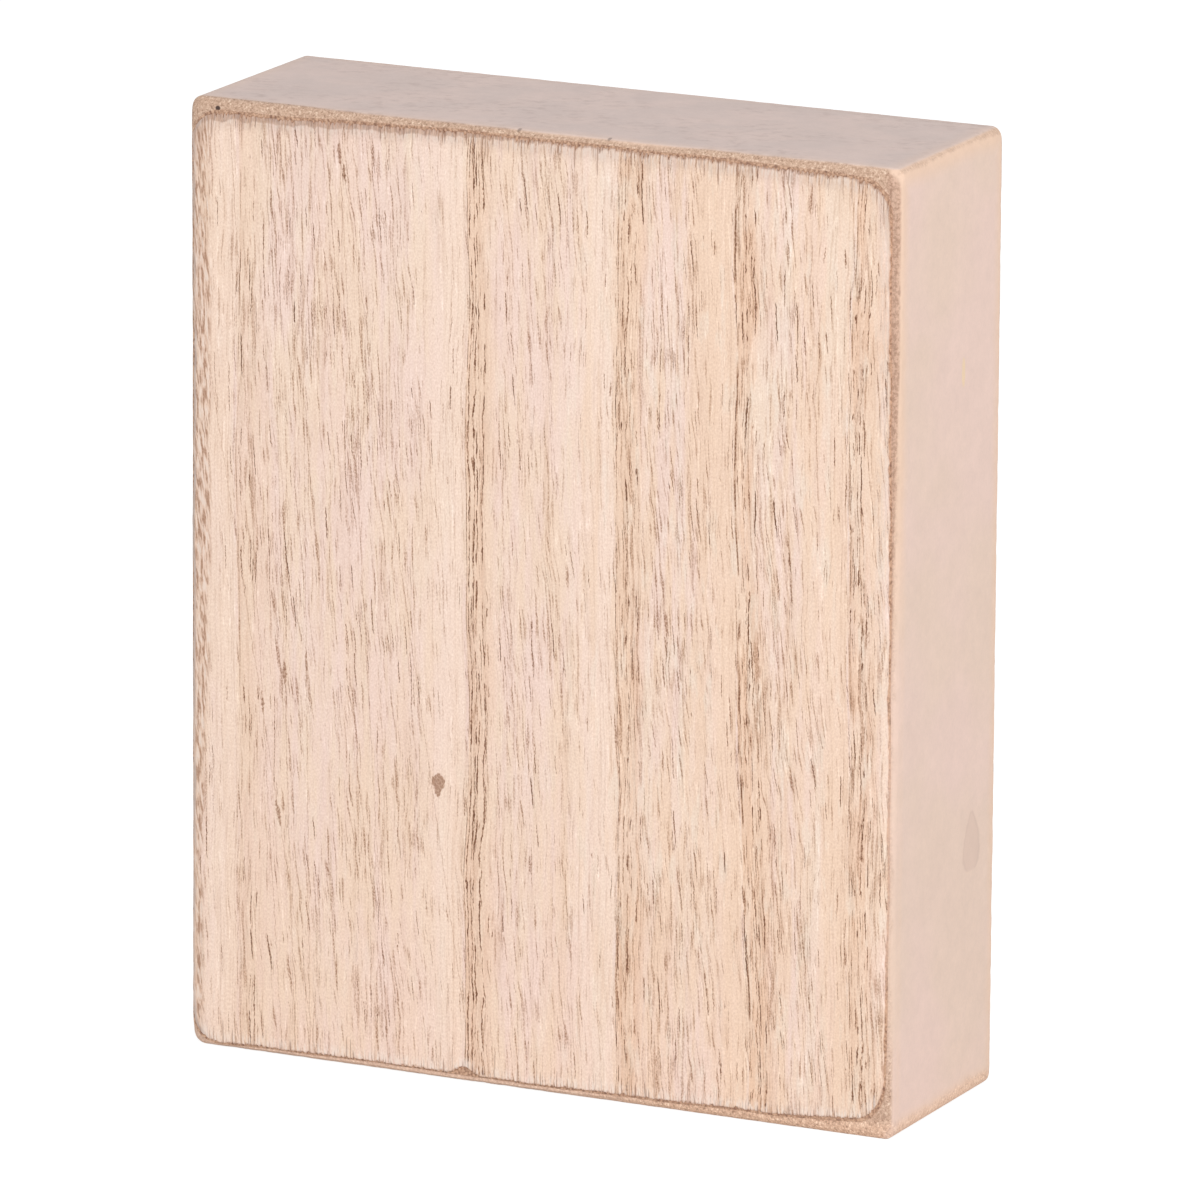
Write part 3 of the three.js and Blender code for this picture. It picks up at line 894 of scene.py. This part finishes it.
def side_marks(n, color):
    """A dried drop, a yellow fleck, and a dark line of painted shade by the back edge on the right side."""
    right = n.step(n.x, half_width - 1.0, half_width - 0.3)
    up = n.mul(n.sub(n.z, DROP[1]), 1 / DROP_LENGTH)
    inside = n.mul(n.step(up, 0.0, 0.06), n.step(up, 1.0, 0.94))
    kept = n.most(n.least(up, 1.0), 0.0)
    reach = n.mul(n.root(kept), n.math("SUBTRACT", 1.0, kept), 2.6 * DROP_WIDTH / 2)
    rough = n.noise(n.point(n.mul(n.y, 1 / 1.2), n.mul(n.z, 1 / 1.6), 12.1), 2.0)
    edge = n.add(n.sub(n.absolute(n.sub(n.y, DROP[0])), reach), n.mul(n.sub(rough, 0.5), 1.0))
    drop = n.mul(n.step(edge, 0.25, -0.25), inside, right)
    rim = n.mul(n.step(n.absolute(edge), 0.5, 0.0), inside, right)
    color = n.blend(n.mul(drop, 0.45), color, srgb(214, 186, 171))
    color = n.blend(n.mul(rim, 0.2), color, srgb(196, 168, 154))
    fleck = n.mul(spot(n, n.y, n.z, SIDE_FLECK, (0.5, 1.9), 15.7, 0.6), right)
    color = n.blend(n.mul(fleck, 0.5), color, srgb(242, 214, 160))
    from_back = n.sub(half_depth, n.y)
    broken = n.step(n.noise(n.point(n.mul(n.z, 1 / 1.3), 4.0), 2.0, 0.6), 0.40, 0.60)
    # Painted shade: a broken dark line by the back edge of the right side, where the rounding turns away
    # from the light
    line = n.mul(n.step(from_back, 1.5, 0.9), n.step(n.z, 30.0, 42.0), broken)
    return n.blend(n.mul(line, right, 0.6), color, srgb(150, 130, 130))


def board_specks(n, color):
    """Dark specks on the edges."""
    for middle, reach, dark in BOARD_SPECKS:
        parts = [n.mul(n.sub(place, at), 1 / far) for place, at, far in zip((n.x, n.y, n.z), middle, reach)]
        away = n.add(n.mul(parts[0], parts[0]), n.add(n.mul(parts[1], parts[1]), n.mul(parts[2], parts[2])))
        color = n.blend(n.mul(n.step(away, 1.5, 0.5), dark), color, srgb(84, 66, 60))
    return color


def top_marks(n, color, top):
    """Faint cloudy scuffs on the top, which also paint shade onto it."""
    along, across = n.add(n.x, n.mul(n.y, 0.6)), n.sub(n.y, n.mul(n.x, 0.35))
    scuffs_and_shade = n.noise(n.point(n.mul(along, 1 / 2.2), n.mul(across, 1 / 1.4), 3.0), 3.0, 0.6)
    places = n.noise(n.point(n.mul(n.x, 1 / 16.0), n.mul(n.y, 1 / 10.0), 6.0), 1.0)
    # Scuffs and painted shade: cloudy darker patches only on the top
    shown = n.mul(top, n.step(scuffs_and_shade, 0.46, 0.70), n.step(places, 0.38, 0.60))
    return n.blend(n.mul(shown, 0.36), color, srgb(190, 166, 157))


# Pieces

def make_pieces():
    glue = glue_material()
    board = block_object("fibreboard_block", board_material())
    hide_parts("board_core")
    sides = (("front", -1, RING_LINES, 11, False), ("back", 1, BACK_RING_LINES, 57, True))
    for side, facing, ring_lines, seed, mirrored in sides:
        material = veneer_material(side + "_veneer_washed", ring_lines, float(seed), mirrored)
        feathered = lambda x, z: 0.75 * np.minimum(drop_at(x, z), veneer_thickness)
        loop = ragged_outline(seed, facing < 0)
        sheet = sheet_object(side + "_veneer_sheet", loop, VENEER_CONTOURS, feathered,
                             veneer_thickness, facing, material, VENEER_GRID)
        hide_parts(side + "_veneer")
        level = lambda x, z: np.full_like(x, veneer_thickness)
        film = sheet_object(side + "_glue_film", glue_outline(seed), (), level,
                            veneer_thickness + glue_thickness, facing, glue, GLUE_GRID)
        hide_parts(side + "_glue_line")


# Studio

def make_floor():
    """A pale floor that shows white to the camera and still takes the plaque's shadow."""
    mesh = bpy.data.meshes.new("studio_floor")
    corners = [(x * FLOOR_REACH, y * FLOOR_REACH, 0) for x, y in ((-1, -1), (1, -1), (1, 1), (-1, 1))]
    mesh.from_pydata(corners, [], [(0, 1, 2, 3)])
    floor = bpy.data.objects.new("studio_floor", mesh)
    bpy.context.scene.collection.objects.link(floor)
    n = Nodes("studio_floor")
    rays = n.node("LightPath")
    mirrored = n.most(rays.outputs["Is Glossy Ray"], rays.outputs["Is Transmission Ray"])
    seen = n.most(rays.outputs["Is Camera Ray"], mirrored)
    diffuse = n.node("BsdfDiffuse")
    lit, shown = (FLOOR_GREY,) * 3 + (1,), (FLOOR_GREY_SEEN,) * 3 + (1,)
    n.feed(diffuse.inputs["Color"], n.blend(seen, lit, shown))
    glow = n.node("Emission")
    glow.inputs["Color"].default_value = (1, 1, 1, 1)
    n.feed(glow.inputs["Strength"], n.mul(seen, FLOOR_GLOW_SEEN))
    both = n.node("AddShader")
    n.tree.links.new(diffuse.outputs[0], both.inputs[0])
    n.tree.links.new(glow.outputs[0], both.inputs[1])
    output = n.node("OutputMaterial")
    n.tree.links.new(both.outputs[0], output.inputs[0])
    mesh.materials.append(n.material)


def make_world():
    world = bpy.data.worlds.new("studio")
    bpy.context.scene.world = world
    world.use_nodes = True
    tree = world.node_tree
    tree.nodes.clear()
    rays = tree.nodes.new("ShaderNodeLightPath")
    soft = tree.nodes.new("ShaderNodeBackground")
    soft.inputs[0].default_value = SKY_COLOR
    soft.inputs[1].default_value = SKY_STRENGTH
    white = tree.nodes.new("ShaderNodeBackground")
    white.inputs[0].default_value = (1, 1, 1, 1)
    white.inputs[1].default_value = 1.0
    pick = tree.nodes.new("ShaderNodeMixShader")
    output = tree.nodes.new("ShaderNodeOutputWorld")
    tree.links.new(rays.outputs["Is Camera Ray"], pick.inputs[0])
    tree.links.new(soft.outputs[0], pick.inputs[1])
    tree.links.new(white.outputs[0], pick.inputs[2])
    tree.links.new(pick.outputs[0], output.inputs[0])


def make_lamp(name, direction, distance, size, power, color):
    data = bpy.data.lights.new(name, "AREA")
    data.shape = "SQUARE"
    data.size = size
    data.energy = power
    data.color = color
    lamp = bpy.data.objects.new(name, data)
    toward = Vector(direction).normalized()
    lamp.location = Vector((0, 0, half_height * MM)) + toward * distance
    lamp.rotation_mode = "QUATERNION"
    lamp.rotation_quaternion = toward.to_track_quat("Z", "Y")
    bpy.context.scene.collection.objects.link(lamp)


def make_camera():
    azimuth, elevation = math.radians(CAMERA_AZIMUTH), math.radians(CAMERA_ELEVATION)
    level = math.cos(elevation)
    back = Vector((math.sin(azimuth) * level, -math.cos(azimuth) * level, math.sin(elevation)))
    data = bpy.data.cameras.new("studio_camera")
    data.sensor_width = SENSOR
    data.lens = SENSOR * FOCAL_LENGTH_IN_FRAME_WIDTHS
    data.shift_x, data.shift_y = FRAME_SHIFT_X, FRAME_SHIFT_Y
    data.clip_start, data.clip_end = NEAREST, FARTHEST
    camera = bpy.data.objects.new("studio_camera", data)
    camera.location = Vector((0, 0, half_height * MM)) + back * (CAMERA_DISTANCE_IN_HEIGHTS * height * MM)
    facing = (-back).to_track_quat("-Z", "Y").to_matrix()
    camera.rotation_euler = (facing @ Matrix.Rotation(math.radians(CAMERA_ROLL), 3, "Z")).to_euler()
    bpy.context.scene.collection.objects.link(camera)
    bpy.context.scene.camera = camera


def make_studio():
    make_floor()
    make_world()
    make_lamp("key_lamp", KEY_TOWARD, KEY_DISTANCE, KEY_SIZE, KEY_POWER, KEY_COLOR)
    make_camera()
    bpy.context.scene.view_settings.view_transform = "Standard"


make_pieces()
make_studio()
